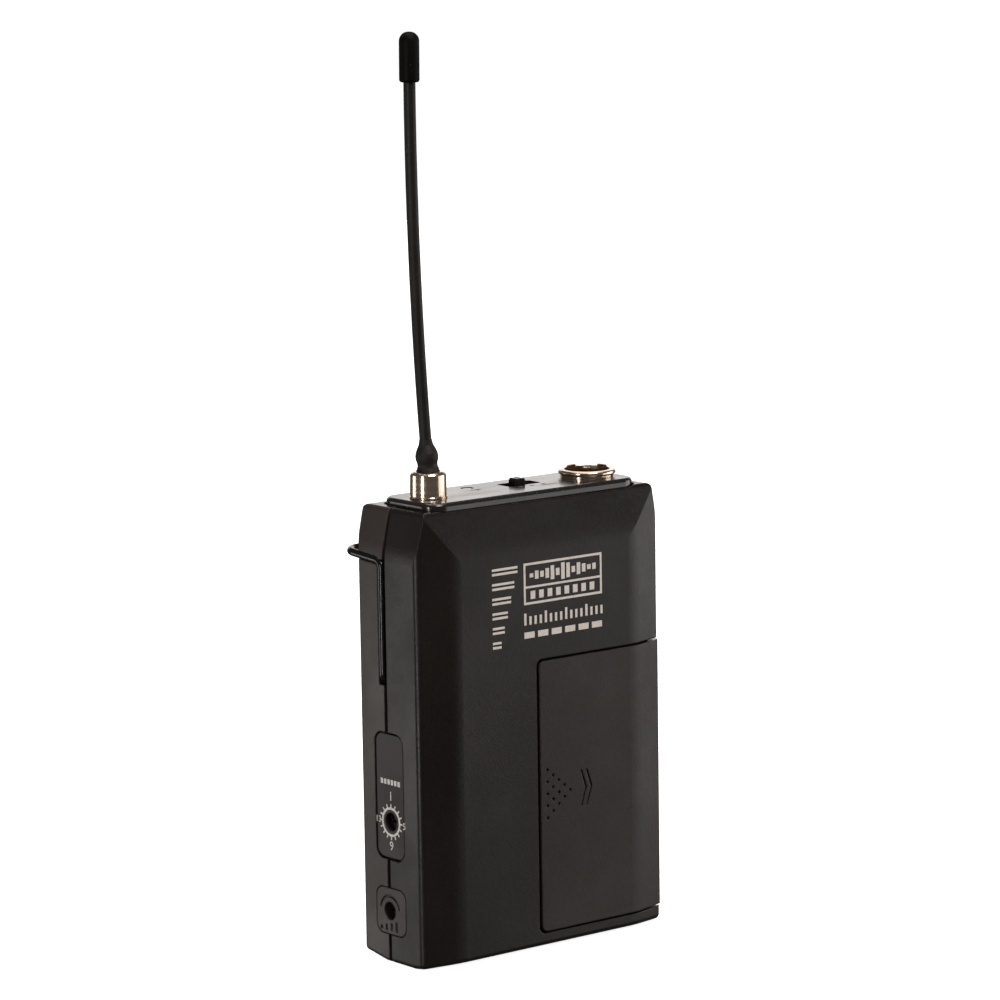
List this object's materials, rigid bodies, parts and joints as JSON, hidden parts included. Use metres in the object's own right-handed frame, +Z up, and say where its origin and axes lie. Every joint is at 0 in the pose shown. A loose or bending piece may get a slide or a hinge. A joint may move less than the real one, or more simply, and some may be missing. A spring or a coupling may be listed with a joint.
{
  "type": "wireless bodypack transmitter",
  "caption": "Belt-worn radio microphone transmitter with whip antenna, wire belt clip, locking microphone socket and sliding battery door.",
  "frame": {"origin": "middle of the flat land under the case, where the pack stands", "axes": "+Z up along the antenna, -Y out of the front face, +X to the right seen from the front, with the antenna on the -X side"},
  "size_m": [0.0661, 0.0283, 0.1938],
  "materials": {
    "case_plastic": "fine moulded texture, warm charcoal black",
    "label_film": "smooth satin film with pale print",
    "inner_plastic": "plain moulding",
    "cell_wrap": "printed sleeve over a steel can",
    "contact_metal": "nickel-plated spring steel",
    "board_laminate": "green solder mask on glass laminate",
    "screw_steel": "zinc plated",
    "chip_plastic": "moulded epoxy and nylon",
    "tin_plate": "tinned sheet",
    "control_plastic": "moulded nylon",
    "gloss_panel": "polished black",
    "knob_plastic": "satin black",
    "lamp_lens": "dark tinted lens, unlit",
    "nickel": "bright nickel plate",
    "insert_plastic": "insulating insert",
    "gold_pin": "gold-plated",
    "brass_stud": "turned",
    "antenna_rubber": "dull black-brown rubber",
    "spring_steel": "drawn wire",
    "black_wire": "glossy black coating over steel wire"
  },
  "bodies": {
    "case": {"front_shell": "case_plastic", "rear_shell": "case_plastic", "gain_pad": "case_plastic", "channel_label": "label_film", "battery_tray": "inner_plastic", "battery_cell_left": "cell_wrap", "battery_cell_right": "cell_wrap", "contact_springs": "contact_metal", "contact_plates": "contact_metal", "main_board": "board_laminate", "board_screws": "screw_steel", "board_parts": "chip_plastic", "rf_shield": "tin_plate", "channel_switch_body": "inner_plastic", "gain_pot_body": "inner_plastic", "top_plate": "gloss_panel", "top_board": "board_laminate", "switch_body": "chip_plastic", "led_lens": "lamp_lens", "led_base": "chip_plastic", "connector_shell": "nickel", "connector_insert": "insert_plastic", "connector_pins": "gold_pin", "connector_nut": "nickel", "antenna_stud": "brass_stud", "antenna_nut": "nickel", "antenna_ferrule": "nickel", "antenna_boot": "antenna_rubber", "antenna_sheath": "antenna_rubber", "antenna_core": "spring_steel", "antenna_tip": "antenna_rubber", "clip_legs": "black_wire"},
    "door": {"battery_door": "case_plastic"},
    "switch": {"switch_knob": "knob_plastic"},
    "channel_selector": {"channel_rotor": "control_plastic"},
    "gain_trim": {"gain_rotor": "control_plastic"},
    "clip": {"belt_clip": "black_wire"}
  },
  "joints": [
    {"name": "door_slide", "type": "slide", "parent": "case", "child": "door", "axis": [1, 0, 0], "range_m": [0, 0.038]},
    {"name": "switch_slide", "type": "slide", "parent": "case", "child": "switch", "axis": [1, 0, 0], "range_m": [-0.0017, 0.0027]},
    {"name": "channel_turn", "type": "hinge", "parent": "case", "child": "channel_selector", "pos_m": [-0.0313, 0.0012, 0.0303], "axis": [-1, 0, 0], "continuous": true},
    {"name": "gain_turn", "type": "hinge", "parent": "case", "child": "gain_trim", "pos_m": [-0.0311, 0.00216, 0.0111], "axis": [-1, 0, 0], "range_deg": [-135, 135]},
    {"name": "clip_spring", "type": "hinge", "parent": "case", "child": "clip", "pos_m": [0, 0.0163, 0.086], "axis": [1, 0, 0], "range_deg": [0, 10], "stiffness_Nm_per_rad": 2}
  ]
}
